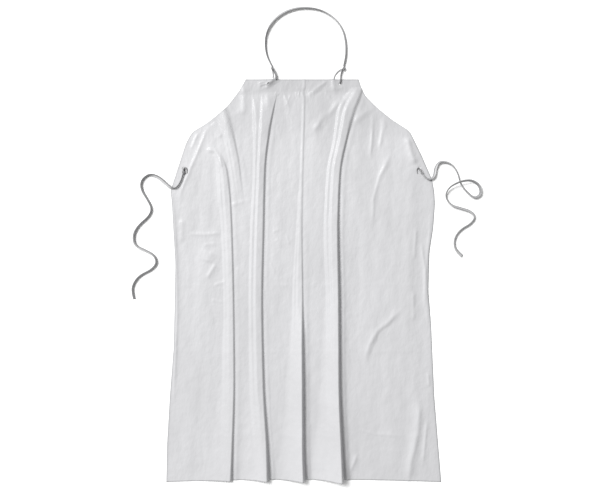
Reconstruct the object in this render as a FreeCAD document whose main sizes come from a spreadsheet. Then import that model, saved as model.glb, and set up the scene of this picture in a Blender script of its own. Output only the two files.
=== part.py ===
import FreeCAD, Part
import math
import os
import Sketcher
from FreeCAD import Placement, Rotation, Vector

# A bib apron of clear white vinyl film, laid flat with its front up.
# Millimetres. +Z up, +Y towards the bib, +X to the right; the film lies on z = 0,
# and the origin is under the middle of the film.

X_AXIS = Vector(1, 0, 0)
Y_AXIS = Vector(0, 1, 0)
Z_AXIS = Vector(0, 0, 1)

# Ends nearer than this are one point
SAME_PLACE = 1e-6

# Driving dimensions: (alias, value, what it is)
SIZES = [
    ("film_length", 1143, "bib edge to bottom hem"),
    ("film_thickness", 0.5, "heavy vinyl film"),
    ("bib_width", 318, "width of the top edge"),
    ("armhole_width", 616, "width where the armholes end"),
    ("armhole_depth", 150, "armhole end below the top edge"),
    ("armhole_radius", 560, "hollow curve of the armhole edge"),
    ("chest_width", 756, "widest line under the armholes"),
    ("chest_drop", 335, "that line below the top edge"),
    ("waist_width", 724, "narrowest line of the laid sides"),
    ("waist_drop", 560, "that line below the top edge"),
    ("hem_width", 780, "laid width of the bottom hem"),
    ("bib_hem_depth", 37, "turned-back hem of the bib"),
    ("fold_rise_ratio", 1.15, "gentle side of a fold, width over height"),
    ("fold_fall_ratio", 0.4, "steep side of a fold, width over height"),
    ("hole_radius", 3.5, "punched strap holes"),
    ("hole_drop", 13, "neck holes below the top edge"),
    ("neck_hole_left", 100, "left neck hole from the middle"),
    ("neck_hole_right", 103, "right neck hole from the middle"),
    ("waist_hole_left", 341, "left side hole from the middle"),
    ("waist_hole_right", 328, "right side hole from the middle"),
    ("waist_hole_drop", 252, "side holes below the top edge"),
    ("tape_width", 10, "flat strap tape"),
    ("tape_thickness", 1, "flat strap tape"),
    ("hole_play", 0.3, "gap between tape and hole wall"),
    ("tail_start", 4, "visible start of a tape's tail above the top edge"),
    ("neck_tail_left", -93, "left tail's place along the top edge"),
    ("neck_tail_right", 82, "right tail's place along the top edge"),
    ("knot_radius", 5, "small overhand knots"),
    ("knot_half_length", 7, "small overhand knots"),
    ("waist_knot_gap", 0.6, "between a waist knot and the turn of tape beside it"),
    ("neck_knot_gap", 5, "the same at the neck, where the strap swings over the turn"),
]

# Long folds of the film: (name, foot of the steep side from the middle, height,
# distance of the upper tip below the top edge, length over which the fold dies out)
FOLDS = [
    ("side_fold", -196, 20, 245, 220),
    ("left_fold", -98, 30, 72, 330),
    ("centre_fold", 6, 34, 82, 780),
    ("right_fold", 110, 42, 46, 330),
]

# Strap routes, laid out by hand: (x, y, height of the strap's underside above the table).
# The neck strap's is measured from the middle of the top edge, a tie's from its own hole.
NECK_ROUTE = [
    (-89, 35.5, 0.3), (-98, 50.5, 0.3), (-107, 76.5, 0.3), (-109, 108.5, 0.3), (-104, 139.5, 0.3),
    (-88, 166.5, 0.3), (-58, 190.5, 0.3), (-20, 203.5, 0.3), (24, 203.5, 0.3), (62, 191.5, 0.3),
    (93, 168.5, 0.3), (112, 139.5, 0.3), (120, 106.5, 0.3), (121, 73.5, 0.3), (118, 52.5, 0.3),
    (114, 35.5, 0.3),
]
LEFT_ROUTE = [
    (0, -15.5, 1.3), (-5, -35.5, 1.3), (-17, -54.5, 1.3), (-30, -59.5, 1.2), (-49, -41.5, 0.3),
    (-72, -21.5, 0.3), (-99, -17.5, 0.3), (-122, -34.5, 0.3), (-121, -61.5, 0.3),
    (-99, -91.5, 0.3), (-87, -116.5, 0.3), (-98, -139.5, 0.3), (-125, -161.5, 0.3),
    (-141, -188.5, 0.3), (-137, -219.5, 0.3), (-109, -231.5, 0.3), (-82, -245.5, 0.3),
    (-73, -268.5, 0.3), (-89, -288.5, 0.3), (-121, -303.5, 0.3), (-139, -324.5, 0.3),
    (-145, -348.5, 0.3), (-138, -371.5, 0.3),
]
RIGHT_ROUTE = [
    (6, -12.5, 1.3), (15, -22.5, 1.3), (32, -32.5, 1.3), (47, -22.5, 1.2), (53, 3.5, 0.3),
    (68, 19.5, 0.3), (93, 11.5, 0.3), (112, -14.5, 0.3), (117, -44.5, 0.3), (134, -71.5, 0.3),
    (158, -88.5, 0.3), (179, -75.5, 0.3), (174, -47.5, 2.5), (149, -31.5, 12), (127, -33.5, 20.6),
    (104, -42.5, 20.6), (81, -57.5, 12), (74, -81.5, 2.5), (90, -105.5, 0.3), (118, -115.5, 0.3),
    (146, -121.5, 0.3), (160, -138.5, 0.3), (145, -159.5, 0.3), (118, -173.5, 0.3),
    (101, -195.5, 0.3), (99, -219.5, 0.3), (107, -236.5, 0.3), (121, -248.5, 0.3),
]

CORNER_SHARE = 0.45     # share of the shorter run that a bend takes up
OVERSHOOT = 5           # how far a cutting tool reaches past what it cuts

doc = FreeCAD.newDocument("butcher_apron")
sheet = doc.addObject("Spreadsheet::Sheet", "Sizes")


def fill_sheet():
    """Write every driving dimension into the spreadsheet under its alias."""
    rows = list(SIZES)
    for name, foot, height, tip_drop, fade in FOLDS:
        rows += [
            (name + "_foot", foot, "foot of the steep side from the middle"),
            (name + "_height", height, "height of the fold"),
            (name + "_tip_drop", tip_drop, "upper tip below the top edge"),
            (name + "_fade", fade, "length over which the fold dies out"),
        ]
    for row, (alias, value, note) in enumerate(rows, start=1):
        sheet.set(f"A{row}", str(value))
        sheet.set(f"B{row}", note)
        sheet.setAlias(f"A{row}", alias)
    doc.recompute()


def bind(obj, **formulas):
    """Bind properties of an object to formulas over the sheet's cells."""
    for name, formula in formulas.items():
        obj.setExpression(name.replace("__", "."), formula)


def primitive(kind, name, **formulas):
    """Add a Part primitive or boolean with its sizes bound to the sheet."""
    obj = doc.addObject("Part::" + kind, name)
    bind(obj, **formulas)
    return obj


def fuse(name, pieces):
    joined = doc.addObject("Part::MultiFuse", name)
    joined.Shapes = pieces
    return joined


def cut(name, base, tool):
    result = doc.addObject("Part::Cut", name)
    result.Base = base
    result.Tool = tool
    return result


def common(name, pieces):
    result = doc.addObject("Part::MultiCommon", name)
    result.Shapes = pieces
    return result


# ---- film ---------------------------------------------------------------

TOP = "Sizes.film_length / 2"

# Corners of the right half, top to bottom: (name, half width, height)
CORNERS = [
    ("bib", "Sizes.bib_width / 2", TOP),
    ("armhole", "Sizes.armhole_width / 2", f"{TOP} - Sizes.armhole_depth"),
    ("chest", "Sizes.chest_width / 2", f"{TOP} - Sizes.chest_drop"),
    ("waist", "Sizes.waist_width / 2", f"{TOP} - Sizes.waist_drop"),
    ("hem", "Sizes.hem_width / 2", "-Sizes.film_length / 2"),
]


def value_of(formula):
    """The present value of a formula over the sheet's cells."""
    return float(sheet.evalExpression(formula))


def film_outline():
    """Closed outline of the laid film: straight sides and two hollow armhole arcs."""
    sketch = doc.addObject("Sketcher::SketchObject", "film_outline")
    right = [Vector(value_of(half), value_of(height), 0) for _, half, height in CORNERS]
    left = [Vector(-point.x, point.y, 0) for point in reversed(right)]
    points = right + left
    armhole_starts = (0, len(points) - 2)
    radius = value_of("Sizes.armhole_radius")
    for index, start in enumerate(points):
        end = points[(index + 1) % len(points)]
        if index in armhole_starts:
            sketch.addGeometry(hollow_arc(start, end, radius))
        else:
            sketch.addGeometry(Part.LineSegment(start, end))
    constrain_outline(sketch, points, armhole_starts)
    return sketch


def hollow_arc(start, end, radius):
    """Arc between two points that bows towards the middle of the film."""
    chord = end - start
    middle = (start + end) * 0.5
    inward = Vector(-math.copysign(1, middle.x), -1, 0)
    across = Vector(-chord.y, chord.x, 0).normalize()
    if across.dot(inward) < 0:
        across = across * -1
    bow = radius - math.sqrt(radius ** 2 - (chord.Length / 2) ** 2)
    return Part.Arc(start, middle + across * bow, end)


def constrain_outline(sketch, points, armhole_starts):
    """Join the outline's edges and bind its corners and armholes to the sheet."""
    count = len(points)
    arc_runs_back = {}
    for index in armhole_starts:
        first = sketch.getPoint(index, 1)
        arc_runs_back[index] = (first - points[index]).Length > SAME_PLACE
    for index in range(count):
        after = (index + 1) % count
        here_end = 1 if arc_runs_back.get(index) else 2
        next_start = 2 if arc_runs_back.get(after) else 1
        sketch.addConstraint(Sketcher.Constraint("Coincident", index, here_end, after, next_start))
    for index, point in enumerate(points):
        side = index < len(CORNERS)
        name, half, height = CORNERS[index if side else count - 1 - index]
        label = ("right_" if side else "left_") + name
        start = 2 if arc_runs_back.get(index) else 1
        bind_distance(sketch, label + "_x", "DistanceX", index, start, half if side else f"-({half})")
        bind_distance(sketch, label + "_y", "DistanceY", index, start, height)
    for side, index in zip(("right", "left"), armhole_starts):
        number = sketch.addConstraint(
            Sketcher.Constraint("Radius", index, value_of("Sizes.armhole_radius")))
        sketch.renameConstraint(number, side + "_armhole_radius")
        sketch.setExpression(f"Constraints.{side}_armhole_radius", "Sizes.armhole_radius")


def bind_distance(sketch, label, kind, edge, end, formula):
    """Hold one corner of a sketch at a signed distance from the sketch's origin."""
    number = sketch.addConstraint(
        Sketcher.Constraint(kind, -1, 1, edge, end, value_of(formula)))
    sketch.renameConstraint(number, label)
    sketch.setExpression(f"Constraints.{label}", formula)


def film_layer(name, outline, layers):
    """The outline raised to a number of film thicknesses."""
    block = doc.addObject("Part::Extrusion", name)
    block.Base = outline
    block.DirMode = "Custom"
    block.Dir = Z_AXIS
    block.Solid = True
    bind(block, LengthFwd=f"Sizes.film_thickness * {layers}")
    return block


def bib_band(name):
    """Box over the bib's hem, one film thick."""
    return primitive(
        "Box", name,
        Length="Sizes.armhole_width",
        Width=f"Sizes.bib_hem_depth + {OVERSHOOT}",
        Height="Sizes.film_thickness",
        Placement__Base__x="-Sizes.armhole_width / 2",
        Placement__Base__y=f"{TOP} - Sizes.bib_hem_depth",
    )


def panel_top():
    """Box over everything below the bib's hem, one film up, to be cut away."""
    widest = "max(Sizes.hem_width; Sizes.chest_width; Sizes.waist_width)"
    return primitive(
        "Box", "panel_top",
        Length=f"{widest} + {2 * OVERSHOOT}",
        Width=f"Sizes.film_length - Sizes.bib_hem_depth + {OVERSHOOT} - 2 * Sizes.film_thickness",
        Height=f"Sizes.film_thickness + {OVERSHOOT}",
        Placement__Base__x=f"-({widest} / 2 + {OVERSHOOT})",
        Placement__Base__y=f"-(Sizes.film_length / 2 + {OVERSHOOT})",
        Placement__Base__z="Sizes.film_thickness",
    )


def fold_tent(name, inside):
    """Long tent of a fold, sloping to the table at its upper end.

    The inside one is smaller by the film's thickness on every slope.
    """
    height = f"Sizes.{name}_height"
    foot = f"Sizes.{name}_foot"
    fade = f"Sizes.{name}_fade"
    rise = f"{height} * Sizes.fold_rise_ratio"
    fall = f"{height} * Sizes.fold_fall_ratio"
    tip = f"{TOP} - Sizes.{name}_tip_drop"
    rise_wall = "Sizes.film_thickness * sqrt(1 + Sizes.fold_rise_ratio ^ 2)"
    fall_wall = "Sizes.film_thickness * sqrt(1 + Sizes.fold_fall_ratio ^ 2)"
    fade_wall = f"Sizes.film_thickness * sqrt(1 + ({fade} / {height}) ^ 2)"
    share = f"(1 - ({rise_wall} + {fall_wall}) / ({rise} + {fall}))"
    if inside:
        label, past_hem = name + "_inside", OVERSHOOT
    else:
        label, past_hem = name + "_outside", 0
        rise_wall, fall_wall, fade_wall, share = "0", "0", "0", "1"
    crest = f"{foot} - {fall_wall} - {fall} * {share}"
    tent = primitive(
        "Wedge", label,
        Xmin=f"{foot} - {fall} - {rise} + {rise_wall}",
        Xmax=f"{foot} - {fall_wall}",
        Ymin="0",
        Ymax=f"{height} * {share}",
        Zmin=f"-({tip} - {fade_wall})",
        Zmax=f"Sizes.film_length / 2 + {past_hem}",
        X2min=crest,
        X2max=crest,
        Z2min=f"-({tip} - {fade_wall} - {fade} * {share})",
        Z2max=f"Sizes.film_length / 2 + {past_hem}",
    )
    tent.Placement = Placement(Vector(0, 0, 0), Rotation(X_AXIS, 90))
    return tent


def strap_hole(name, across, along):
    """Punch through both layers of film."""
    return primitive(
        "Cylinder", name,
        Radius="Sizes.hole_radius",
        Height=f"2 * Sizes.film_thickness + {2 * OVERSHOOT}",
        Placement__Base__x=across,
        Placement__Base__y=along,
        Placement__Base__z=f"-{OVERSHOOT}",
    )


NECK_HOLE_Y = f"{TOP} - Sizes.hole_drop"
WAIST_HOLE_Y = f"{TOP} - Sizes.waist_hole_drop"
HOLES = {
    "neck_hole_left": ("-Sizes.neck_hole_left", NECK_HOLE_Y),
    "neck_hole_right": ("Sizes.neck_hole_right", NECK_HOLE_Y),
    "waist_hole_left": ("-Sizes.waist_hole_left", WAIST_HOLE_Y),
    "waist_hole_right": ("Sizes.waist_hole_right", WAIST_HOLE_Y),
}


def make_film():
    """The apron's film with its folds and holes, and the hem turned back behind its bib."""
    outline = film_outline()
    plate = cut("film_plate", film_layer("film_block", outline, 2),
                fuse("film_waste", [panel_top(), bib_band("hem_space")]))
    outside = [fold_tent(fold[0], False) for fold in FOLDS]
    inside = [fold_tent(fold[0], True) for fold in FOLDS]
    punches = [strap_hole(name, across, along) for name, (across, along) in HOLES.items()]
    folded = cut("folded_film", fuse("film_and_folds", [plate] + outside),
                 fuse("fold_hollows", inside))
    film = cut("apron_sheet", folded, fuse("punches", punches))
    hem_band = common("hem_band", [film_layer("hem_layer", outline, 1), bib_band("hem_area")])
    hem_punches = [strap_hole("hem_" + name, *HOLES[name])
                   for name in ("neck_hole_left", "neck_hole_right")]
    hem = cut("bib_hem", hem_band, fuse("hem_punches", hem_punches))
    return [film, hem]


# ---- turns of tape through the holes, tails and knots ---------------------

# From a knot's middle to the end of the tape beside it
NECK_KNOT_REACH = "Sizes.knot_radius + Sizes.neck_knot_gap"
WAIST_KNOT_REACH = "Sizes.knot_half_length + Sizes.waist_knot_gap"


def flat_tape(name, start_x, start_y, end, short_of_end, past_start, above):
    """Flat tape lying between two places; its own length, lean and height are bound."""
    end_x, end_y = end.x, end.y
    lean = f"atan2({end_y} - ({start_y}); {end_x} - ({start_x}))"
    span = f"sqrt(({end_x} - ({start_x})) ^ 2 + ({end_y} - ({start_y})) ^ 2)"
    half_width = "Sizes.tape_width / 2"
    return primitive(
        "Box", name,
        Length=f"{span} + {past_start} - ({short_of_end})",
        Width="Sizes.tape_width",
        Height="Sizes.tape_thickness",
        Placement__Rotation__Angle=lean,
        Placement__Base__x=f"{start_x} - {past_start} * cos({lean}) + {half_width} * sin({lean})",
        Placement__Base__y=f"{start_y} - {past_start} * sin({lean}) - {half_width} * cos({lean})",
        Placement__Base__z=above,
    )


def tape_turn(name, hole, knot_centre, knot_reach, film_layers):
    """Flat tape lying on the film from a hole to its knot, with the gathered stub
    that goes down through the hole."""
    across, along = HOLES[hole]
    on_film = f"Sizes.film_thickness * {film_layers}"
    flat = flat_tape(name + "_flat", across, along, knot_centre, knot_reach,
                     "Sizes.hole_radius", on_film)
    stub = primitive(
        "Cylinder", name + "_stub",
        Radius="Sizes.hole_radius - Sizes.hole_play",
        Height=f"{on_film} + Sizes.tape_thickness / 2",
        Placement__Base__x=across,
        Placement__Base__y=along,
    )
    return fuse(name, [flat, stub])


def tape_tail(name, edge_x, knot_centre):
    """Flat end of tape that comes back from behind the bib's top edge to its knot."""
    edge_y = f"{TOP} + Sizes.tail_start"
    return flat_tape(name, edge_x, edge_y, knot_centre,
                     NECK_KNOT_REACH, "0", "0")


def knot(name, centre, along_x):
    """Small overhand knot, round about the line that its strap can turn on."""
    body = primitive(
        "Ellipsoid", name,
        Radius1="Sizes.knot_half_length",
        Radius2="Sizes.knot_radius",
        Radius3="Sizes.knot_radius",
    )
    turn = Rotation(Y_AXIS, 90) if along_x else Rotation(X_AXIS, 90)
    body.Placement = Placement(centre, turn)
    return body


# ---- straps --------------------------------------------------------------

def route_wire(name, corners):
    """Straight runs joined by tangent arcs, each as large as its two runs allow."""
    edges = []
    here = corners[0]
    length = 0.0
    for before, corner, after in zip(corners, corners[1:], corners[2:]):
        inward = (corner - before).normalize()
        outward = (after - corner).normalize()
        turn = inward.getAngle(outward)
        shorter = min((corner - before).Length, (after - corner).Length)
        reach = CORNER_SHARE * shorter
        radius = reach / math.tan(turn / 2)
        start = corner - inward * reach
        end = corner + outward * reach
        to_centre = (outward - inward).normalize()
        centre = corner + to_centre * math.hypot(reach, radius)
        middle = centre - to_centre * radius
        edges.append(Part.LineSegment(here, start).toShape())
        edges.append(Part.Arc(start, middle, end).toShape())
        length += (start - here).Length + radius * turn
        here = end
        print(f"{name}: bend at {tuple(round(v, 1) for v in corner)} radius {radius:.1f}, "
              f"turn {math.degrees(turn):.0f}")
    edges.append(Part.LineSegment(here, corners[-1]).toShape())
    length += (corners[-1] - here).Length
    return Part.Wire(edges), length


def strap(name, corners):
    """Round tube as wide as the tape, along the strap's route."""
    radius = value_of("Sizes.tape_width") / 2
    wire, length = route_wire(name, corners)
    ring = Part.Wire(Part.makeCircle(radius, corners[0], corners[1] - corners[0]))
    tube = wire.makePipeShell([ring], True, False)
    piece = doc.addObject("Part::Feature", name)
    piece.Shape = tube
    piece.Placement = Placement()
    section = math.pi * radius ** 2
    print(f"{name}: length {length:.1f}, volume {tube.Volume:.0f}, "
          f"section x length {section * length:.0f}")
    return piece


def laid_from(route, across, along):
    """A route's corners, moved to the place that they are measured from."""
    half_height = max(value_of("Sizes.tape_width") / 2, value_of("Sizes.knot_radius"))
    anchor = Vector(value_of(across), value_of(along), half_height)
    return [anchor + Vector(*point) for point in route]


def make_straps():
    """Neck strap, both waist ties, their knots and the turns of tape that hold them."""
    neck = laid_from(NECK_ROUTE, "0", TOP)
    left = laid_from(LEFT_ROUTE, *HOLES["waist_hole_left"])
    right = laid_from(RIGHT_ROUTE, *HOLES["waist_hole_right"])
    return [
        strap("neck_strap", neck),
        strap("waist_tie_left", left),
        strap("waist_tie_right", right),
        knot("neck_knot_left", neck[0], True),
        knot("neck_knot_right", neck[-1], True),
        knot("waist_knot_left", left[0], False),
        knot("waist_knot_right", right[0], False),
        tape_turn("neck_loop_left", "neck_hole_left", neck[0], NECK_KNOT_REACH, 2),
        tape_turn("neck_loop_right", "neck_hole_right", neck[-1], NECK_KNOT_REACH, 2),
        tape_turn("waist_loop_left", "waist_hole_left", left[0], WAIST_KNOT_REACH, 1),
        tape_turn("waist_loop_right", "waist_hole_right", right[0], WAIST_KNOT_REACH, 1),
        tape_tail("neck_tail_left", "Sizes.neck_tail_left", neck[0]),
        tape_tail("neck_tail_right", "Sizes.neck_tail_right", neck[-1]),
    ]


def check_document(pieces):
    """Stop on anything failed, empty or invalid before a file is written."""
    for obj in doc.Objects:
        if "Invalid" in obj.State or "Error" in obj.State:
            raise RuntimeError(f"{obj.Name} is {obj.State}")
    for piece in pieces:
        shape = piece.Shape
        if shape.isNull() or not shape.isValid() or not shape.Solids:
            raise RuntimeError(f"{piece.Label} has no valid solid")
        print(f"{piece.Label}: {len(shape.Solids)} solid, {shape.Volume:.0f} mm3, "
              f"{shape.BoundBox}")


fill_sheet()
parts = make_film() + make_straps()
doc.recompute()
for part in parts:
    part.Label = part.Name
check_document(parts)
os.makedirs("parts", exist_ok=True)
for part in parts:
    part.Shape.exportStep(f"parts/{part.Label}.step")
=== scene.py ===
import math

import bmesh
import bpy
import numpy as np
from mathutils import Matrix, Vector


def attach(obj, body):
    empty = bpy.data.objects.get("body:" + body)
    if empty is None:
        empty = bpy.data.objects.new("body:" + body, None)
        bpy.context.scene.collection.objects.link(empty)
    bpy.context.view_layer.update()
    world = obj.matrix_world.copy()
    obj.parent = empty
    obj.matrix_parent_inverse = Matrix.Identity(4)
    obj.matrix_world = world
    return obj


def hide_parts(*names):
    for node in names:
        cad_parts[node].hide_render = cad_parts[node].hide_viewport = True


# A butcher's apron laid flat on its back: one sheet of glossy white vinyl film with a doubled bib band,
# a neck strap and two waist ties of narrow flat tape. Sizes and tables are in millimetres, and objects in
# metres, unless a comment says otherwise. +X is the viewer's right, +Y is the bib end and +Z is up.

MM = 0.001
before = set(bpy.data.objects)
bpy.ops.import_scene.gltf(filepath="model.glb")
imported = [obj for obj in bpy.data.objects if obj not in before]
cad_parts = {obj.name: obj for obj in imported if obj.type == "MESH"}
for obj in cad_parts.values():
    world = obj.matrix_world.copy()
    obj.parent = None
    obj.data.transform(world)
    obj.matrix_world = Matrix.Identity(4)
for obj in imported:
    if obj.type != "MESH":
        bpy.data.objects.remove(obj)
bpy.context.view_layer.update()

# ---------------------------------------------------------------- camera and light

CAMERA_SPOT = (7.8, 87.3)
CAMERA_HEIGHT = 1800
VIEW_WIDTH = 1741
SENSOR_WIDTH = 36
WHITE = (1, 1, 1, 1)
# The light's place and size and the floor's reach are in metres.
KEY_PLACE = (-5.0, 4.2, 7.6)
KEY_SIZE = 4.5
KEY_POWER = 1400
SURROUND_STRENGTH = 0.42
FLOOR_REACH = 12
FLOOR_DROP = 0.1


def make_camera():
    """A camera straight above the apron, with the bib at the top of the picture."""
    data = bpy.data.cameras.new("camera")
    data.sensor_width = SENSOR_WIDTH
    data.lens = SENSOR_WIDTH * CAMERA_HEIGHT / VIEW_WIDTH
    camera = bpy.data.objects.new("camera", data)
    camera.location = (CAMERA_SPOT[0] * MM, CAMERA_SPOT[1] * MM, CAMERA_HEIGHT * MM)
    bpy.context.scene.collection.objects.link(camera)
    bpy.context.scene.camera = camera


def make_key_light():
    """A large square soft light at the upper left, which faces the middle of the apron."""
    data = bpy.data.lights.new("key_light", "AREA")
    data.size = KEY_SIZE
    data.energy = KEY_POWER
    light = bpy.data.objects.new("key_light", data)
    light.location = KEY_PLACE
    light.rotation_mode = "QUATERNION"
    light.rotation_quaternion = (-Vector(KEY_PLACE)).to_track_quat("-Z", "Y")
    bpy.context.scene.collection.objects.link(light)


def make_surround():
    """An even pale surround, with colours shown as they are."""
    world = bpy.data.worlds.new("surround")
    world.use_nodes = True
    background = world.node_tree.nodes["Background"]
    background.inputs["Color"].default_value = WHITE
    background.inputs["Strength"].default_value = SURROUND_STRENGTH
    bpy.context.scene.world = world
    bpy.context.scene.view_settings.view_transform = "Standard"


def make_floor():
    """A wide pale floor just beneath the apron."""
    corners = [(-1, -1), (1, -1), (1, 1), (-1, 1)]
    points = [(x * FLOOR_REACH, y * FLOOR_REACH, 0) for x, y in corners]
    floor = mesh_object("floor", points, [(0, 1, 2, 3)])
    floor.location.z = -FLOOR_DROP * MM
    floor.data.materials.append(floor_material())


# ---------------------------------------------------------------- small helpers


def mesh_object(name, points, faces):
    """A mesh object from points and faces, in metres, shaded smooth."""
    mesh = bpy.data.meshes.new(name)
    mesh.from_pydata([tuple(p) for p in points], [], faces)
    mesh.polygons.foreach_set("use_smooth", [True] * len(mesh.polygons))
    made = bpy.data.objects.new(name, mesh)
    bpy.context.scene.collection.objects.link(made)
    return made


def point_values(made, name, values):
    """Gives each point of a mesh a number that its material reads by name."""
    attribute = made.data.attributes.new(name, "FLOAT", "POINT")
    attribute.data.foreach_set("value", values.astype(np.float32))


def smooth_through(stations, at):
    """The value at each place on a smooth line through the stations, with no overshoot between them."""
    known, values = np.array(stations, float).T
    gap = np.diff(known)
    rise = np.diff(values) / gap
    slope = np.zeros(len(known))
    slope[0], slope[-1] = rise[0], rise[-1]
    before, after = rise[:-1], rise[1:]
    same_way = before * after > 0
    slope[1:-1][same_way] = 2 * before[same_way] * after[same_way] / (before + after)[same_way]
    k = np.clip(np.searchsorted(known, at) - 1, 0, len(gap) - 1)
    t = np.clip((at - known[k]) / gap[k], 0, 1)
    start = (1 + 2 * t) * (1 - t) ** 2 * values[k] + t * (1 - t) ** 2 * gap[k] * slope[k]
    end = t * t * (3 - 2 * t) * values[k + 1] + t * t * (t - 1) * gap[k] * slope[k + 1]
    return start + end


def ease(t):
    """0 to 1 with level ends."""
    t = np.clip(t, 0, 1)
    return t * t * (3 - 2 * t)


def step_up(distance, width):
    """0 to 1 across a step of that width, halfway at distance 0."""
    return ease(distance / width + 0.5)


def bell(distance, reach):
    """1 at distance 0, fading to nothing a few reaches away."""
    return np.exp(-((distance / reach) ** 2))


# ---------------------------------------------------------------- cord routes

TAPE_WIDTH = 10
TAPE_THICKNESS = 1

# The control points of each route, with the height of the tape's lower side. The neck strap's are the CAD
# part's, and the ties' are a few millimetres from the CAD part's in places. The neck strap's are measured
# from the middle of the bib's top edge, and each tie's from its waist hole.
BIB_TOP = (0, 571.5)
LEFT_HOLE = (-341, 319.5)
RIGHT_HOLE = (328, 319.5)
NECK_ROUTE = [
    (-89, 35.5, 0.3), (-98, 50.5, 0.3), (-107, 76.5, 0.3), (-109, 108.5, 0.3),
    (-104, 139.5, 0.3), (-88, 166.5, 0.3), (-58, 190.5, 0.3), (-20, 203.5, 0.3),
    (24, 203.5, 0.3), (62, 191.5, 0.3), (93, 168.5, 0.3), (112, 139.5, 0.3),
    (120, 106.5, 0.3), (121, 73.5, 0.3), (118, 52.5, 0.3), (114, 35.5, 0.3),
]
LEFT_ROUTE = [
    (0, -15.5, 2.6), (-5, -35.5, 2.8), (-17, -54.5, 2.4), (-30, -59.5, 1.4),
    (-50, -43.5, 0.3), (-72, -23.5, 0.3), (-97, -17.5, 0.3), (-119, -35.5, 0.3),
    (-118, -62.5, 0.3), (-99, -91.5, 0.3), (-87, -116.5, 0.3), (-98, -139.5, 0.3),
    (-125, -161.5, 0.3), (-141, -188.5, 0.3), (-137, -219.5, 0.3), (-109, -231.5, 0.3),
    (-82, -245.5, 0.3), (-73, -268.5, 0.3), (-89, -288.5, 0.3), (-121, -303.5, 0.3),
    (-139, -324.5, 0.3), (-145, -348.5, 0.3), (-138, -371.5, 0.3),
]
RIGHT_ROUTE = [
    (6, -12.5, 3), (14, -24.5, 2.8), (30, -33.5, 2), (42, -21.5, 1.2),
    (45, 5.5, 0.3), (59, 21.5, 0.3), (90, 14.5, 0.3), (109, -12.5, 0.3),
    (116, -44.5, 0.3), (134, -67.5, 0.3), (156, -85.5, 0.3), (174, -74.5, 0.3),
    (170, -49.5, 1.2), (149, -36.5, 5.4), (127, -36.5, 9.6), (104, -43.5, 9.6),
    (81, -57.5, 5.4), (72, -80.5, 1.2), (88, -104.5, 0.3), (116, -112.5, 0.3),
    (146, -121.5, 0.3), (160, -138.5, 0.3), (145, -159.5, 0.3), (118, -173.5, 0.3),
    (101, -195.5, 0.3), (99, -219.5, 0.3), (107, -236.5, 0.3), (121, -248.5, 0.3),
]
ROUTE_STEPS = 10


def spline_points(points):
    """The points of the smooth NURBS line with these control points, in metres."""
    data = bpy.data.curves.new("route", "CURVE")
    data.dimensions = "3D"
    data.resolution_u = ROUTE_STEPS
    spline = data.splines.new("NURBS")
    spline.points.add(len(points) - 1)
    for made, (x, y, z) in zip(spline.points, points):
        made.co = (x * MM, y * MM, z * MM, 1)
    spline.order_u = 3
    spline.use_endpoint_u = True
    holder = bpy.data.objects.new("route", data)
    mesh = bpy.data.meshes.new_from_object(holder)
    line = np.array([v.co for v in mesh.vertices])
    bpy.data.meshes.remove(mesh)
    bpy.data.objects.remove(holder)
    return line


def placed(route, anchor):
    """A route's control points moved to their anchor."""
    return [(x + anchor[0], y + anchor[1], z) for x, y, z in route]


# ---------------------------------------------------------------- tape

SECTION_STEPS = 5
TAPE_BEVEL = 0.25
BEVEL_STEPS = 2
# The name of the number on each point of a tape that says how steep its face is there, from 0 to 1, which
# darkens its colour as painted shade.
SHADE_BY_STEEPNESS = "shade_by_steepness"


def tape_section(width, thickness, curl):
    """The outline of flat tape cut across, bowed by curl, as pairs (across, out of its face)."""
    across = np.linspace(-1, 1, SECTION_STEPS)
    bow = curl * (1 - across ** 2) - curl / 2
    upper = [(a * width / 2, b + thickness / 2) for a, b in zip(across, bow)]
    lower = [(a * width / 2, b - thickness / 2) for a, b in zip(across, bow)]
    return np.array(upper + lower[::-1])


def section_tilts(width, curl):
    """The tilt of the tape's face at each point of tape_section, in degrees from its middle."""
    across = np.linspace(-1, 1, SECTION_STEPS)
    tilt = np.degrees(np.arctan(-4 * curl * across / width))
    return np.concatenate([tilt, tilt[::-1]])


def tube_faces(rings, around, closed):
    """Faces that join rings of points one after another, with end caps unless the last meets the first."""
    faces = []
    for ring in range(rings if closed else rings - 1):
        following = (ring + 1) % rings
        for k in range(around):
            after = (k + 1) % around
            faces.append((
                ring * around + k, ring * around + after,
                following * around + after, following * around + k,
            ))
    if not closed:
        faces.append(tuple(range(around))[::-1])
        faces.append(tuple((rings - 1) * around + k for k in range(around)))
    return faces


def sweep(name, line, leans, widths, thickness, curls, closed=False):
    """Tape along a line in metres. leans, widths and curls have one number for each point of the line.
    A lean of 0 lies flat and 90 stands on its edge, in degrees. A curl is how far the tape bows."""
    if closed:
        ahead = np.roll(line, -1, axis=0) - np.roll(line, 1, axis=0)
    else:
        ahead = np.gradient(line, axis=0)
    ahead /= np.linalg.norm(ahead, axis=1)[:, None]
    side = np.cross(ahead, (0, 0, 1))
    side /= np.linalg.norm(side, axis=1)[:, None]
    up = np.cross(side, ahead)
    lean = np.radians(leans)[:, None]
    across = np.cos(lean) * side + np.sin(lean) * up
    out = np.cross(across, ahead)
    rings = []
    shade_by_steepness = []
    for centre, a, o, tilt, width, curl in zip(line, across, out, leans, widths, curls):
        section = tape_section(width * MM, thickness * MM, curl * MM)
        rings.append(centre + section[:, :1] * a + section[:, 1:] * o)
        # How steep the face is at each point, which the material turns into painted shade.
        shade_by_steepness.append(np.abs(np.sin(np.radians(tilt + section_tilts(width, curl)))))
    made = mesh_object(name, np.concatenate(rings), tube_faces(len(rings), len(rings[0]), closed))
    point_values(made, SHADE_BY_STEEPNESS, np.concatenate(shade_by_steepness))
    return made


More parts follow.
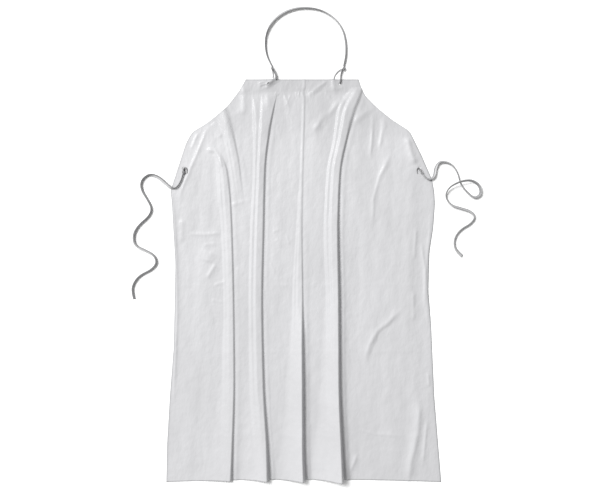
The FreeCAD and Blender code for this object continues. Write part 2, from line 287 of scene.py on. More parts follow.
def settle(line, leans, widths, curls):
    """Points with the height of the tape's lower side, raised to the middle of tape that leans so."""
    lean = np.radians(leans)
    half_height = np.abs(np.sin(lean)) * widths / 2
    half_height += np.abs(np.cos(lean)) * (TAPE_THICKNESS + np.abs(curls)) / 2
    settled = line.copy()
    settled[:, 2] += half_height * MM
    return settled


def lay_tape(name, points, leans, widths, curls):
    """Tape along control points that have the height of its lower side, with its leans, widths and curls at
    stations along it from 0 to 1. Returns the tape, and the points that it follows."""
    line = spline_points(points)
    share = np.linspace(0, 1, len(line))
    lean, width, curl = (smooth_through(stations, share) for stations in (leans, widths, curls))
    line = settle(line, lean, width, curl)
    return sweep(name, line, lean, width, TAPE_THICKNESS, curl), line


def finish_tape(tape, body, node):
    """Gives a piece of tape its material, its body and the CAD node that it stands for."""
    bevel = tape.modifiers.new("soft_edges", "BEVEL")
    bevel.width = TAPE_BEVEL * MM
    bevel.segments = BEVEL_STEPS
    bevel.limit_method = "ANGLE"
    tape.data.materials.append(MATERIALS["tape"])
    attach(tape, body)
    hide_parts(node)
    return tape


# ---------------------------------------------------------------- materials

# Nearly all of a noise texture's values are in this span.
NOISE_SPAN = (0.3, 0.7)

# A noise is its scale, its detail and its stretch along the axes. A bump is its depth in metres and noise.
FILM_CLOUD = (5, 3, (1.6, 0.8, 1))
FILM_TONES = [(0.48, 0.48, 0.49), (0.52, 0.52, 0.532)]
# The dark tone that painted shade mixes into the film's colour.
FILM_PAINTED_SHADE_TONE = (0.2, 0.2, 0.205)
FILM_GLOSS = (14, 4)
FILM_ROUGHNESS = (0.4, 0.5)
FILM_SPECULAR = 0.2
FILM_COAT = 0.06
FILM_COAT_ROUGHNESS = 0.12
FILM_BUMPS = [
    (0.002, 38, 5, (1.3, 0.8, 1)),
    (0.00022, 95, 3, (1, 0.8, 1)),
    (0.00004, 420, 2),
]
# The name of the number on each point of the film that says how much painted shade darkens its colour there,
# from 0 to 1.
PAINTED_SHADE = "painted_shade"

TAPE_CLOUD = (30, 3)
TAPE_CLOUDING = (-0.08, 0.08)
# The tape's lit tone and its painted shaded tone, and the span over which steepness turns one into the
# other.
TAPE_LIT_AND_SHADED_TONES = [(0.4, 0.4, 0.405), (0.225, 0.225, 0.23)]
TAPE_SHADE_SPAN = (0.35, 0.88)
TAPE_ROUGHNESS = (0.35, 0.5)
TAPE_BUMPS = [(0.0002, 160, 3)]

FLOOR_CLOUD = (2, 2)
FLOOR_TONES = [(0.93, 0.93, 0.93), (0.94, 0.94, 0.94)]
FLOOR_ROUGHNESS = 0.9
FLOOR_SPECULAR = 0.1


def new_material(name):
    """An empty node material, its nodes, links and Principled shader."""
    material = bpy.data.materials.new(name)
    material.use_nodes = True
    nodes = material.node_tree.nodes
    return material, nodes, material.node_tree.links, nodes["Principled BSDF"]


def noise(nodes, links, scale, detail, stretch=(1, 1, 1)):
    """A noise texture in object coordinates, stretched along the axes. Returns its factor socket."""
    place = nodes.new("ShaderNodeTexCoord")
    mapping = nodes.new("ShaderNodeMapping")
    mapping.inputs["Scale"].default_value = stretch
    texture = nodes.new("ShaderNodeTexNoise")
    texture.inputs["Scale"].default_value = scale
    texture.inputs["Detail"].default_value = detail
    links.new(place.outputs["Object"], mapping.inputs["Vector"])
    links.new(mapping.outputs["Vector"], texture.inputs["Vector"])
    return texture.outputs["Fac"]


def point_number(nodes, name):
    """The number of that name on each point of the mesh."""
    node = nodes.new("ShaderNodeAttribute")
    node.attribute_name = name
    return node.outputs["Fac"]


def ranged(nodes, links, source, low, high):
    """A noise factor spread over a range of numbers."""
    node = nodes.new("ShaderNodeMapRange")
    node.inputs["From Min"].default_value, node.inputs["From Max"].default_value = NOISE_SPAN
    node.inputs["To Min"].default_value = low
    node.inputs["To Max"].default_value = high
    links.new(source, node.inputs["Value"])
    return node.outputs["Result"]


def tinted(nodes, links, source, tones, span=NOISE_SPAN):
    """A factor turned into a colour between two tones, over the span of the factor's values."""
    node = nodes.new("ShaderNodeValToRGB")
    for stop, place, tone in zip(node.color_ramp.elements, span, tones):
        stop.position = place
        stop.color = (*tone, 1)
    links.new(source, node.inputs["Fac"])
    return node.outputs["Color"]


def bumps(nodes, links, layers):
    """Bumps one over another, from the coarsest to the finest. Returns the normal of the last."""
    normal = None
    for depth, *texture in layers:
        node = nodes.new("ShaderNodeBump")
        node.inputs["Distance"].default_value = depth
        links.new(noise(nodes, links, *texture), node.inputs["Height"])
        if normal:
            links.new(normal, node.inputs["Normal"])
        normal = node.outputs["Normal"]
    return normal


def film_material():
    """Glossy white vinyl film, with faint clouding, uneven gloss, fine crinkles, and painted shade: its
    colour is mixed towards a dark tone by the number on each point.
    """
    material, nodes, links, shader = new_material("white_vinyl_film")
    cloud = noise(nodes, links, *FILM_CLOUD)
    # Painted shade: the film's colour is mixed towards its dark tone by the number on each point.
    mix = nodes.new("ShaderNodeMix")
    mix.data_type = "RGBA"
    mix.inputs["B"].default_value = (*FILM_PAINTED_SHADE_TONE, 1)
    links.new(point_number(nodes, PAINTED_SHADE), mix.inputs["Factor"])
    links.new(tinted(nodes, links, cloud, FILM_TONES), mix.inputs["A"])
    links.new(mix.outputs["Result"], shader.inputs["Base Color"])
    gloss = noise(nodes, links, *FILM_GLOSS)
    links.new(ranged(nodes, links, gloss, *FILM_ROUGHNESS), shader.inputs["Roughness"])
    shader.inputs["Specular IOR Level"].default_value = FILM_SPECULAR
    shader.inputs["Coat Weight"].default_value = FILM_COAT
    shader.inputs["Coat Roughness"].default_value = FILM_COAT_ROUGHNESS
    links.new(bumps(nodes, links, FILM_BUMPS), shader.inputs["Normal"])
    return material


def tape_material():
    """Milky extruded plastic tape, with painted shade: its colour is darker where its face is steep, as
    where it stands on its edge.
    """
    material, nodes, links, shader = new_material("milky_plastic_tape")
    cloud = noise(nodes, links, *TAPE_CLOUD)
    clouded = nodes.new("ShaderNodeMath")
    clouded.operation = "ADD"
    links.new(point_number(nodes, SHADE_BY_STEEPNESS), clouded.inputs[0])
    links.new(ranged(nodes, links, cloud, *TAPE_CLOUDING), clouded.inputs[1])
    # Painted shade: the colour goes from the lit tone to the shaded tone as the face gets steeper.
    tone = tinted(nodes, links, clouded.outputs["Value"], TAPE_LIT_AND_SHADED_TONES, TAPE_SHADE_SPAN)
    links.new(tone, shader.inputs["Base Color"])
    links.new(ranged(nodes, links, cloud, *TAPE_ROUGHNESS), shader.inputs["Roughness"])
    links.new(bumps(nodes, links, TAPE_BUMPS), shader.inputs["Normal"])
    return material


def floor_material():
    """A plain pale matt floor."""
    material, nodes, links, shader = new_material("pale_floor")
    cloud = noise(nodes, links, *FLOOR_CLOUD)
    links.new(tinted(nodes, links, cloud, FLOOR_TONES), shader.inputs["Base Color"])
    shader.inputs["Roughness"].default_value = FLOOR_ROUGHNESS
    shader.inputs["Specular IOR Level"].default_value = FLOOR_SPECULAR
    return material


# ---------------------------------------------------------------- film

FILM_HALF_LENGTH = 571.5
FILM_THICKNESS = 0.5
# The number of rows and columns of points on the film, before the fine rows beside the holes.
FILM_ROWS = 300
FILM_COLUMNS = 430

# The film's side edges: how far along, and how far out. They turn sharply only at the corners.
LEFT_EDGE = [
    (-571.5, -390), (-464, -388), (-327, -380), (-191, -369), (-55, -366), (48, -364), (116, -368),
    (218, -374), (256, -378), (272, -373), (391, -334), (422, -317), (446, -276), (489, -222),
    (537, -184), (571.5, -164),
]
RIGHT_EDGE = [
    (-571.5, 390), (-464, 381), (-327, 370), (-191, 364), (-123, 361), (-30, 353), (82, 356),
    (150, 367), (218, 372), (255, 370), (290, 363), (354, 335), (425, 300), (457, 250), (491, 208),
    (525, 174), (547, 163), (571.5, 155),
]
EDGE_ROUNDING = 8
EDGE_SAMPLES = 9

# The long folds, each at stations along the film: how far along, the foot of its near side, the middle
# of its steep side, its height, how far its long slope reaches back from the steep side, and the share
# of its height that is a flat-topped pleat and not that slope.
FOLDS = {
    "side": [
        (-571.5, -234, -205, 13, 110, 0.1), (-481, -230, -202, 10, 80, 0.2),
        (-282, -227, -197, 7, 45, 0.4), (-55, -226, -199, 6, 32, 0.6), (144, -232, -204, 6, 30, 0.8),
        (229, -238, -208, 6, 28, 0.9), (315, -243, -218, 4.5, 24, 1), (368, -262, -240, 0, 20, 1),
    ],
    "upper": [
        (225, -192, -170, 0, 20, 1), (285, -203, -178, 2, 20, 1), (335, -211, -184, 3.4, 20, 1),
        (413, -226, -200, 4.6, 20, 1), (486, -248, -220, 4, 20, 1), (520, -262, -232, 0, 20, 1),
    ],
    "left": [
        (-571.5, -129, -100, 24, 85, 0.15), (-481, -136, -103, 17, 66, 0.3),
        (-282, -149, -114, 11, 45, 0.7), (-55, -153, -118, 9, 40, 0.9), (144, -149, -114, 9, 38, 1),
        (315, -141, -110, 9, 36, 1), (428, -140, -97, 8, 40, 1), (485, -142, -86, 5.5, 50, 1),
        (533, -148, -75, 0, 60, 1),
    ],
    "centre": [
        (-571.5, -40, 2, 31, 85, 0), (-481, -40, -1, 25, 68, 0.05), (-282, -35, -2, 21, 50, 0.1),
        (-168, -33, -3, 17, 40, 0.2), (-90, -30, -3, 8, 34, 0.5), (-55, -30, -3, 6, 30, 0.6),
        (144, -20, -5, 3.2, 18, 0.8), (315, -10, -2, 1.8, 10, 1), (485, -5, 3, 1.4, 9, 1),
        (571.5, -4, 5, 0.8, 8, 1),
    ],
    "right": [
        (-571.5, 70, 112, 39, 100, 0.1), (-481, 72, 108, 32, 80, 0.15), (-282, 70, 101, 25, 55, 0.3),
        (-55, 67, 100, 21, 45, 0.5), (144, 60, 97, 16, 42, 0.7), (229, 63, 99, 12, 40, 0.8),
        (315, 69, 104, 9.5, 38, 0.9), (400, 86, 121, 8.5, 34, 1), (485, 98, 145, 7.5, 40, 1),
        (520, 116, 159, 6.5, 40, 1), (547, 140, 167, 3, 40, 1),
    ],
}
# A pleat rises in two near steps with a shelf between them, and its top falls towards its steep side.
NEAR_STEP_TOP_WIDTH = 6.5
NEAR_STEP_HEM_WIDTH = 18
SHELF_SHARE = 0.38
PLATEAU_DROP = 0.5
PLATEAU_POWER = 1.5
SLOPE_POWER = 1.6
STEEP_LEAST_WIDTH = 3.6
STEEP_WIDTH_SHARE = 0.2
# A low lip beyond the foot of each steep side.
LIP_SHARE = 0.09
LIP_REACH = 12
LIP_WIDTH = 6

# Lesser creases: height (below 0 is a valley), half width, and points along it.
CREASES = [
    # The lines that the waist corners are turned down along.
    (1.7, 6, [(-272, 437), (-297, 374), (-336, 284), (-352, 239)]),
    (1.2, 5, [(-300, 420), (-319, 374)]),
    (5, 11, [(293, 408), (305, 357), (317, 331)]),
    (1, 7, [(317, 331), (333, 301), (352, 290)]),
    # The left panel.
    (2.5, 5, [(-278, 372), (-251, 369), (-239, 350), (-232, 320)]),
    (1.5, 3, [(-246, 335), (-238, 206)]),
    (2, 6, [(-258, 450), (-233, 405)]),
    (1.6, 4, [(-324, 133), (-280, 131), (-235, 136)]),
    (1.2, 3, [(-283, 102), (-250, 105)]),
    (1.4, 4, [(-254, -12), (-222, -3)]),
    (2, 7, [(-250, 48), (-274, 8)]),
    (2.5, 16, [(-262, 84), (-272, 52)]),
    (2, 10, [(-346, 176), (-346, 110)]),
    (1.2, 5, [(-262, -55), (-228, -62)]),
    (1.2, 5, [(-205, 215), (-168, 226)]),
    (1, 5, [(-190, 36), (-172, 18)]),
    # The middle panel.
    (1.2, 5, [(-78, 120), (-62, 96)]),
    (1.2, 4, [(-50, 128), (-40, 104)]),
    (1, 4, [(-88, 138), (-70, 146)]),
    (1, 5, [(-96, 52), (-80, 22)]),
    (0.8, 4, [(-66, -10), (-48, -16)]),
    # The right panel.
    (2, 5, [(198, 470), (189, 352)]),
    (2, 6, [(229, 458), (215, 376)]),
    (2.2, 7, [(246, 357), (215, 295), (198, 234), (195, 160)]),
    (2.2, 9, [(188, 488), (144, 450)]),
    (2.8, 9, [(274, -81), (237, -121), (209, -142), (187, -180), (175, -222)]),
    (-1.6, 10, [(262, -105), (222, -150), (199, -196), (190, -240)]),
    (1.6, 6, [(319, 150), (313, 60)]),
    (2, 6, [(333, 110), (344, 30), (343, -80)]),
    (1.8, 8, [(310, -30), (311, -112)]),
    (1, 6, [(153, -424), (200, -436), (271, -440)]),
    (5, 13, [(328, -345), (322, -430), (302, -520), (296, -575)]),
    (2, 6, [(349, -400), (338, -520)]),
    (2.2, 7, [(150, -500), (133, -545)]),
    (2, 5, [(352, -262), (356, -300)]),
    # Drapes that fall from the bib.
    (2, 10, [(-170, 556), (-169, 515), (-170, 468)]),
    (1.1, 9, [(-103, 532), (-100, 490)]),
    (3.4, 10, [(112, 518), (62, 468), (26, 424)]),
    (-2, 8, [(84, 500), (45, 440)]),
    (1.5, 6, [(67, 568), (40, 548), (12, 525)]),
    (-1.1, 5, [(72, 556), (34, 528)]),
    (-2, 5, [(-30, 571), (-28, 545)]),
    (-2.2, 5, [(4, 545), (4, 526)]),
    # Puckers along the weld of the bib's band and round the neck holes.
    (-1.6, 4, [(-87, 556), (-49, 545), (-16, 538), (0, 538)]),
    (0.8, 3, [(-104, 568), (-128, 560)]),
    (-0.8, 3, [(-104, 556), (-122, 551)]),
    (0.8, 3, [(-100, 549), (-120, 545)]),
    (1.5, 3, [(-82, 533), (-70, 528)]),
    (0.7, 3, [(-64, 540), (-46, 514)]),
    (1.2, 3, [(-56, 526), (-40, 492)]),
    (0.7, 3, [(-36, 530), (-50, 498)]),
    (0.9, 2.6, [(-24, 534), (-19, 525)]),
    (0.9, 2.6, [(-13, 535), (-15, 524)]),
    (0.9, 2.6, [(-7, 532), (-2, 524)]),
    (0.9, 2.6, [(14, 530), (22, 522)]),
    (0.9, 2.6, [(25, 536), (30, 527)]),
    (1.2, 3, [(60, 534), (76, 520)]),
    (1.2, 3, [(92, 545), (112, 548)]),
    # Soft rolls beside the cut side edges.
    (2.2, 5.5, [(-372, 245), (-366, 150), (-361, 60), (-359, -100), (-369, -330)]),
    (1.4, 6, [(361, 180), (346, 20), (352, -120)]),
]
CREASE_FADE = 0.25
CREASE_POWER = 1.5

# The sharp lines across the film that its packing left, by how far along they are.
FACTORY_FOLDS = [-12, -200, -440]
FACTORY_FOLD_HEIGHT = 0.28
FACTORY_FOLD_WIDTH = 4

# Where tape runs beneath or onto the bib: how dark it is painted on the film, standing for the tape that
# shows through and the shade round it, how far it lifts the film, and its run.
UNDER_BIB = [
    (0.85, 3, [(-80, 572), (-90, 564), (-99, 557)]),
    (0.4, 1, [(-99, 557), (-122, 551)]),
    (0.25, 1, [(-92, 566), (-122, 561)]),
    # Painted shadow round the right neck turn, where it crosses the bib's top edge.
    (0.35, 0, [(106, 572), (105, 565), (103, 558)]),
    (0.16, 2.4, [(84, 572), (84, 560), (87, 548)]),
]
UNDER_REACH = 8
SHADE_REACH = 5
# Painted shade: the film's colour is a little darker where it is doubled, and darker still along its cut
# edges.
DOUBLE_SHADE = 0.24
EDGE_SHADE = 0.8
EDGE_SHADE_REACH = 2
# Painted shade: the film's colour is a little darker towards the bib.
BIB_SHADE = 0.14
BIB_SHADE_START = 370
BIB_SHADE_REACH = 100

# The bib's band, a second layer turned back behind the top edge.
BAND_EDGE = 534.5
BAND_STEP = 0.75
BAND_EASE = 5

# The punched holes for the tape: across and along.
HOLES = [(-100, 558.5), (103, 558.5), (-341, 319.5), (328, 319.5)]
HOLE_RADIUS = 3.5
HOLE_SNAP = 2
LEAST_DISTANCE = 0.01
FINE_ROW = 1.1
FINE_REACH = 8

# Broad low waves over the film: height, wavelength, the way they run in radians from +X, and phase.
WAVES = [
    (0.6, 230, 0.12, 0.4), (0.45, 150, -0.1, 2.1), (0.36, 118, 0.3, 4.4), (0.34, 90, -0.35, 0.9),
    (0.26, 64, 0.06, 3.3), (0.26, 52, 1.2, 5.2), (0.2, 41, -0.2, 1.2), (0.16, 31, 0.9, 2.7),
]
WAVE_STRETCH = 0.3
WAVE_REST = 0.3
EDGE_REACH = 60

# The bottom edge is drawn up between its corners.
HEM_ARCH = 7
HEM_ARCH_END = 340
HEM_ARCH_REACH = FILM_HALF_LENGTH - HEM_ARCH_END
FILM_HALF_HEM = 390


def along_polyline(x, y, points):
    """How far each place is from the polyline through points, and how far along it, from 0 to 1."""
    corners = np.array(points, float)
    runs = np.linalg.norm(np.diff(corners, axis=0), axis=1)
    starts = np.concatenate([[0], np.cumsum(runs)])
    away = np.full(x.shape, np.inf)
    along = np.zeros(x.shape)
    for k, (a, b) in enumerate(zip(corners[:-1], corners[1:])):
        step = b - a
        t = ((x - a[0]) * step[0] + (y - a[1]) * step[1]) / (step @ step)
        t = np.clip(t, 0, 1)
        distance = np.hypot(x - a[0] - t * step[0], y - a[1] - t * step[1])
        nearer = distance < away
        away[nearer] = distance[nearer]
        along[nearer] = ((starts[k] + t * runs[k]) / starts[-1])[nearer]
    return away, along


def crease(x, y, height, half_width, points):
    """A rounded ridge or valley along a polyline, with faded ends."""
    away, along = along_polyline(x, y, points)
    fade = ease(np.minimum(along, 1 - along) / CREASE_FADE + CREASE_FADE)
    return height * fade / (1 + (away / half_width) ** 2) ** CREASE_POWER


def fold(x, y, stations):
    """A long fold: a slope up to a steep side that drops away to the right, and a pleat with a stepped
    near side and a falling top along it."""
    near, steep, height, reach, pleat = (
        smooth_through([(s[0], s[k]) for s in stations], y) for k in range(1, 6)
    )
    height = np.where(y > stations[-1][0], 0, height)
    height = np.where(y < stations[0][0] - 1, 0, height)
    across = np.clip((x - near) / (steep - near), 0, 1)
    shelf = (steep - near) * SHELF_SHARE
    towards_hem = ease(-y / FILM_HALF_LENGTH)
    step_width = NEAR_STEP_TOP_WIDTH + (NEAR_STEP_HEM_WIDTH - NEAR_STEP_TOP_WIDTH) * towards_hem
    steps = (step_up(x - near, step_width) + step_up(x - near - shelf, step_width)) / 2
    top = 1 - PLATEAU_DROP * np.clip(across - SHELF_SHARE, 0, 1) ** PLATEAU_POWER
    slope = np.clip((x - steep + reach) / reach, 0, 1) ** SLOPE_POWER
    fall = step_up(steep - x, STEEP_LEAST_WIDTH + STEEP_WIDTH_SHARE * height)
    lip = LIP_SHARE * bell(x - steep - LIP_REACH, LIP_WIDTH)
    profile = pleat * steps * top + (1 - pleat) * slope
    return height * (profile * fall + lip)


def drape(x, y):
    """Broad low waves, from a few sines of different lengths that run mostly along the film."""
    total = sum(height for height, _, _, _ in WAVES) * WAVE_REST
    for height, length, way, phase in WAVES:
        along_wave = x * math.cos(way) + y * math.sin(way) * WAVE_STRETCH
        total = total + height * np.sin(2 * math.pi * along_wave / length + phase)
    return total


def edge_share(x, y, left, right):
    """0 on the film's cut edges and 1 away from them, where the waves may lift it."""
    inside = np.minimum(x - left, right - x)
    inside = np.minimum(inside, FILM_HALF_LENGTH - np.abs(y))
    return ease(inside / EDGE_REACH)


def film_height(x, y, left, right):
    """The height of the film's middle above the table at each place, in millimetres."""
    inner = edge_share(x, y, left, right)
    height = drape(x, y) * inner
    for stations in FOLDS.values():
        height = height + fold(x, y, stations)
    for ridge in CREASES:
        height = height + crease(x, y, *ridge)
    for _, lift, run in UNDER_BIB:
        height = height + lift * bell(along_polyline(x, y, run)[0], UNDER_REACH)
    for line in FACTORY_FOLDS:
        height = height + FACTORY_FOLD_HEIGHT * inner * np.exp(-np.abs(y - line) / FACTORY_FOLD_WIDTH)
    over_band = BAND_STEP * ease((y - BAND_EDGE) / BAND_EASE + 1)
    return np.maximum(height, 0) + over_band + FILM_THICKNESS


def hem_arch(x, y):
    """How far the bottom edge is drawn up between its corners, fading out above it."""
    return HEM_ARCH * (1 - (x / FILM_HALF_HEM) ** 2) * ease((-y - HEM_ARCH_END) / HEM_ARCH_REACH)


def edge_line(stations, along):
    """Where a side edge is at each place along the film, straight between stations and eased at each."""
    reach = np.linspace(-EDGE_ROUNDING, EDGE_ROUNDING, EDGE_SAMPLES)
    known, out = np.array(stations, float).T
    return np.mean([np.interp(along + shift, known, out) for shift in reach], axis=0)


def film_rows():
    """Places along the film for its rows of points, close together beside the holes."""
    rows = list(np.linspace(-FILM_HALF_LENGTH, FILM_HALF_LENGTH, FILM_ROWS))
    for hole_row in sorted({hole[1] for hole in HOLES}):
        rows = [row for row in rows if abs(row - hole_row) > FINE_REACH]
        rows += list(np.arange(hole_row - FINE_REACH, hole_row + FINE_REACH, FINE_ROW))
    return np.array(sorted(rows))


def punch(x, y):
    """Moves the points beside each hole onto its rim, and says which points are inside a hole."""
    inside = np.zeros(x.shape, bool)
    for across, along in HOLES:
        dx, dy = x - across, y - along
        distance = np.maximum(np.hypot(dx, dy), LEAST_DISTANCE)
        near_rim = np.abs(distance - HOLE_RADIUS) < HOLE_SNAP / 2
        inside |= distance < HOLE_RADIUS - HOLE_SNAP / 2
        x = np.where(near_rim, across + dx / distance * HOLE_RADIUS, x)
        y = np.where(near_rim, along + dy / distance * HOLE_RADIUS, y)
    return x, y, inside


def film_shade(x, y):
    """How much painted shade darkens the film's colour at each place: along its cut edges, on the doubled
    band, towards the bib, and over and round the tape that runs beneath or onto the bib.
    """
    inset = np.minimum(np.minimum(x - x[:, :1], x[:, -1:] - x), FILM_HALF_LENGTH - y)
    shade = np.maximum(EDGE_SHADE * np.exp(-inset / EDGE_SHADE_REACH), DOUBLE_SHADE * (y > BAND_EDGE))
    shade = np.maximum(shade, BIB_SHADE * ease((y - BIB_SHADE_START) / BIB_SHADE_REACH))
    for strength, _, run in UNDER_BIB:
        shade = np.maximum(shade, strength * bell(along_polyline(x, y, run)[0], SHADE_REACH))
    return shade


def drop_loose_points(made):
    """Takes away the points of a mesh that no face uses."""
    bare = bmesh.new()
    bare.from_mesh(made.data)
    loose = [point for point in bare.verts if not point.link_faces]
    bmesh.ops.delete(bare, geom=loose, context="VERTS")
    bare.to_mesh(made.data)
    bare.free()


def sheet_mesh(name, x, y, z, inside):
    """A sheet on a grid of points in millimetres, without the faces that have a point inside a hole."""
    rows, columns = x.shape
    points = np.stack([x, y, z], axis=-1).reshape(-1, 3) * MM
    gone = inside.reshape(-1)
    faces = []
    for row in range(rows - 1):
        for column in range(columns - 1):
            here = row * columns + column
            face = (here, here + 1, here + columns + 1, here + columns)
            if not gone[list(face)].any():
                faces.append(face)
    made = mesh_object(name, points, faces)
    point_values(made, PAINTED_SHADE, film_shade(x, y).reshape(-1))
    drop_loose_points(made)
    return made


def finish_film(sheet, node):
    """Gives a sheet of film its thickness, its material, its body and the CAD node that it stands for."""
    skin = sheet.modifiers.new("thickness", "SOLIDIFY")
    skin.thickness = FILM_THICKNESS * MM
    skin.offset = 0
    sheet.data.materials.append(MATERIALS["film"])
    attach(sheet, "apron")
    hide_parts(node)
    return sheet


def make_film():
    """The film and the turned-back band behind its top edge, on rows across it from hem to bib."""
    along = film_rows()
    y = np.repeat(along[:, None], FILM_COLUMNS, axis=1)
    left = edge_line(LEFT_EDGE, along)[:, None]
    right = edge_line(RIGHT_EDGE, along)[:, None]
    x = left + (right - left) * np.linspace(0, 1, FILM_COLUMNS)
    x, y, inside = punch(x, y)
    z = film_height(x, y, left, right)
    y = y + hem_arch(x, y)
    film = finish_film(sheet_mesh("vinyl_film", x, y, z, inside), "apron_sheet")
    turned = along > BAND_EDGE
    band = sheet_mesh("bib_band", x[turned], y[turned], z[turned] - BAND_STEP, inside[turned])
    finish_film(band, "bib_hem")


# ---------------------------------------------------------------- straps, knots, turns and tails

# The free straps. Each has its body and its CAD node, its route and the point that it is measured from,
# its lean in degrees, its width and its curl at stations along it from 0 to 1, its length in metres, its far
# end, and its knots. A knot has its place, its heading in degrees and its CAD node.
STRAPS = {
    "neck_strap_tape": {
        "body": "neck_strap",
        "node": "neck_strap",
        "route": NECK_ROUTE,
        "anchor": BIB_TOP,
        "leans": [
            (0, 118), (0.1, 120), (0.19, 114), (0.25, 90), (0.31, 64), (0.42, 54), (0.5, 62), (0.57, 74),
            (0.66, 62), (0.8, 56), (1, 60),
        ],
        "widths": [(0, TAPE_WIDTH), (1, TAPE_WIDTH)],
        "curls": [(0, 1), (0.3, 2), (0.5, 1.2), (0.7, 2), (1, 1)],
        "length": 0.478,
        "far_end": "object",
        "knots": {
            "neck_left_knot_tape": ((-89, 602, 5.3), 90, "neck_knot_left"),
            "neck_right_knot_tape": ((114, 602, 5.3), 90, "neck_knot_right"),
        },
    },
    "left_tie_tape": {
        "body": "left_tie",
        "node": "waist_tie_left",
        "route": LEFT_ROUTE,
        "anchor": LEFT_HOLE,
        "leans": [
            (0, 72), (0.05, 72), (0.1, 68), (0.135, 38), (0.19, 24), (0.235, 36), (0.29, 68), (0.36, 60),
            (0.45, 70), (0.55, 66), (0.66, 58), (0.76, 70), (0.86, 62), (1, 66),
        ],
        "widths": [(0, 6.5), (0.09, 7), (0.14, TAPE_WIDTH), (1, TAPE_WIDTH)],
        "curls": [
            (0, 1), (0.1, 1), (0.15, -3), (0.22, -3), (0.28, 1), (0.5, 1.4), (0.66, 2.4), (1, 1),
        ],
        "length": 0.590,
        "far_end": "bare",
        "knots": {"left_tie_knot_tape": ((-341, 307, 6.3), 90, "waist_knot_left")},
    },
    "right_tie_tape": {
        "body": "right_tie",
        "node": "waist_tie_right",
        "route": RIGHT_ROUTE,
        "anchor": RIGHT_HOLE,
        "leans": [
            (0, 66), (0.06, 70), (0.12, 50), (0.16, 70), (0.22, 62), (0.27, 58), (0.33, 54), (0.4, 62),
            (0.45, 58), (0.5, 58), (0.55, 62), (0.62, 66), (0.68, 60), (0.77, 54), (0.85, 62), (0.92, 50),
            (1, 25),
        ],
        "widths": [(0, 6), (0.05, 7.4), (0.09, TAPE_WIDTH), (1, TAPE_WIDTH)],
        "curls": [(0, 1), (0.12, 2.2), (0.27, 1), (0.5, 1.4), (0.8, 2.4), (1, 1.4)],
        "length": 0.668,
        "far_end": "bare",
        "knots": {"right_tie_knot_tape": ((333, 308, 6.3), -60, "waist_knot_right")},
    },
}

# A knot's line is a trefoil that reaches 3 units out and 1 unit up. Its length, breadth and height are how
# many millimetres a unit is along it, beside it and above it.
KNOT_STEPS = 48
KNOT_LENGTH = 1.5
KNOT_BREADTH = 0.8
KNOT_HEIGHT = 2
KNOT_LEAN = 60.0
KNOT_TAPE_WIDTH = 3.6
KNOT_TAPE_THICKNESS = 1.2
KNOT_TAPE_CURL = 0.4


def make_straps():
    """The free straps, by name, each with the points that it follows."""
    made = {}
    for name, strap in STRAPS.items():
        points = placed(strap["route"], strap["anchor"])
        tape, line = lay_tape(name, points, strap["leans"], strap["widths"], strap["curls"])
        made[name] = finish_tape(tape, strap["body"], strap["node"]), line
    return made


def make_knot(name, place, heading, body, node):
    """A small overhand knot of the tape, pulled tight, with its length along heading in degrees. Its line
    goes twice round while it rises and falls three times."""
    turn = np.linspace(0, 2 * math.pi, KNOT_STEPS, endpoint=False)
    out = 2 + np.cos(3 * turn)
    along = out * np.cos(2 * turn) * KNOT_LENGTH
    beside = out * np.sin(2 * turn) * KNOT_BREADTH
    above = np.sin(3 * turn) * KNOT_HEIGHT
    way = math.radians(heading)
    line = np.stack([
        place[0] + along * math.cos(way) - beside * math.sin(way),
        place[1] + along * math.sin(way) + beside * math.cos(way),
        place[2] + above,
    ], axis=1) * MM
    same_all_round = (KNOT_LEAN, KNOT_TAPE_WIDTH, KNOT_TAPE_CURL)
    lean, width, curl = (np.full(KNOT_STEPS, value) for value in same_all_round)
    knot = sweep(name, line, lean, width, KNOT_TAPE_THICKNESS, curl, closed=True)
    return finish_tape(knot, body, node)


def make_knots():
    """The knots of each strap, by the strap's name."""
    return {
        name: [
            make_knot(knot, place, heading, strap["body"], node)
            for knot, (place, heading, node) in strap["knots"].items()
        ]
        for name, strap in STRAPS.items()
    }


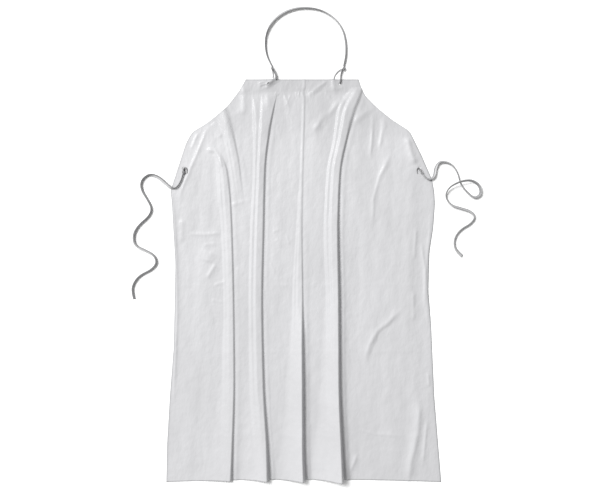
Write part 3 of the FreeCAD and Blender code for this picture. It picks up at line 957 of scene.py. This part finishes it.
# The short ends of tape. Each has its CAD node, its lean in degrees and its width at stations along it from
# 0 to 1, and points with the height of its lower side.
SHORT_TAPE_CURLS = [(0, 0.5), (1, 0.5)]
SHORT_TAPES = {
    "neck_left_turn": (
        "neck_loop_left", [(0, 116), (0.34, 112), (0.46, 174), (1, 176)], [(0, 10), (0.5, 10), (1, 6)],
        [
            (-87, 600, 0.4), (-82, 592, 0.4), (-79, 583, 0.3), (-79, 575, 0.2), (-85, 568, 0.2),
            (-94, 562, 0.2), (-99.5, 558.5, 0.8), (-102, 556.5, 2.8), (-105, 554.5, 3.6),
        ],
    ),
    "neck_right_turn": (
        "neck_loop_right", [(0, 72), (0.6, 66), (1, 70)], [(0, 9), (0.7, 9), (1, 5)],
        [
            (111, 600, 0.4), (107.6, 592, 0.4), (105.4, 583, 0.6), (105, 574, 1.6), (104.5, 566, 1.6),
            (103.5, 561, 1), (103, 557, 0.4),
        ],
    ),
    "neck_left_tail": (
        "neck_tail_left", [(0, 20), (1, 10)], [(0, 3.4), (1, 2.6)],
        [(-89, 598, 2), (-88, 590, 1.4), (-87, 582, 1), (-88, 575, 0.6)],
    ),
    "neck_right_tail": (
        "neck_tail_right", [(0, 20), (1, 6)], [(0, 3), (1, 4)],
        [
            (111, 601, 3), (103, 599, 2.4), (93, 590, 1.4), (86.5, 580, 0.6), (85, 571, 0.2),
            (85, 560, 0.2), (87, 549, 0.2),
        ],
    ),
    "waist_left_turn": (
        "waist_loop_left", [(0, 66), (0.4, 60), (1, 30)], [(0, 9), (0.4, 7), (1, 4)],
        [
            (-341, 309, 1.6), (-342.5, 314, 1.6), (-341, 319.5, 0.8), (-336.5, 321.5, 1.4),
            (-332, 318, 2), (-330, 312, 2.2), (-331.5, 305, 2.2),
        ],
    ),
    "waist_right_turn": (
        "waist_loop_right", [(0, 66), (0.4, 60), (1, 30)], [(0, 9), (0.4, 7), (1, 4)],
        [
            (331, 311, 1.8), (329, 315, 1.8), (326, 319, 1), (322, 318, 2), (320, 312, 2.6),
            (322, 305, 2.6),
        ],
    ),
}


def make_short_tapes():
    """The turns of tape through the holes, and the tails that the knots leave."""
    for name, (node, leans, widths, points) in SHORT_TAPES.items():
        tape, _ = lay_tape(name, points, leans, widths, SHORT_TAPE_CURLS)
        finish_tape(tape, "apron", node)


# ---------------------------------------------------------------- the scene

MATERIALS = {"film": film_material(), "tape": tape_material()}
make_camera()
make_key_light()
make_surround()
make_floor()
STRAP_TAPES = make_straps()
STRAP_KNOTS = make_knots()
make_short_tapes()
make_film()
